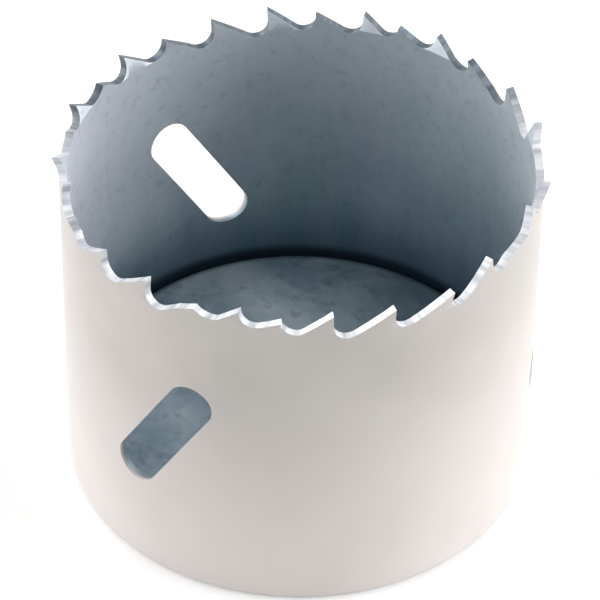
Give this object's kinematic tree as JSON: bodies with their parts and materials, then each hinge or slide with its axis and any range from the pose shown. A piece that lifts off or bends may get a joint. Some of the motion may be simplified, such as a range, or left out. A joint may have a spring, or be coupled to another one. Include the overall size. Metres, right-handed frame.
{
  "type": "hole saw",
  "caption": "Cup-shaped hole saw: a toothed steel band with slanted slots, welded round a thick end plate with a threaded arbor hole.",
  "frame": {"origin": "on the saw's axis, in the outer face of the end plate, which the saw stands on", "axes": "+Z along the saw's axis from the end plate to the teeth, +X through the middle of the first of the three slots"},
  "size_m": [0.0597, 0.0596, 0.0457],
  "materials": {
    "painted_band": "semi-gloss warm grey-white paint, bare steel inside",
    "bare_plate": "dull grey steel"
  },
  "bodies": {
    "root": {"saw_band": "painted_band", "end_plate": "bare_plate"}
  },
  "joints": []
}
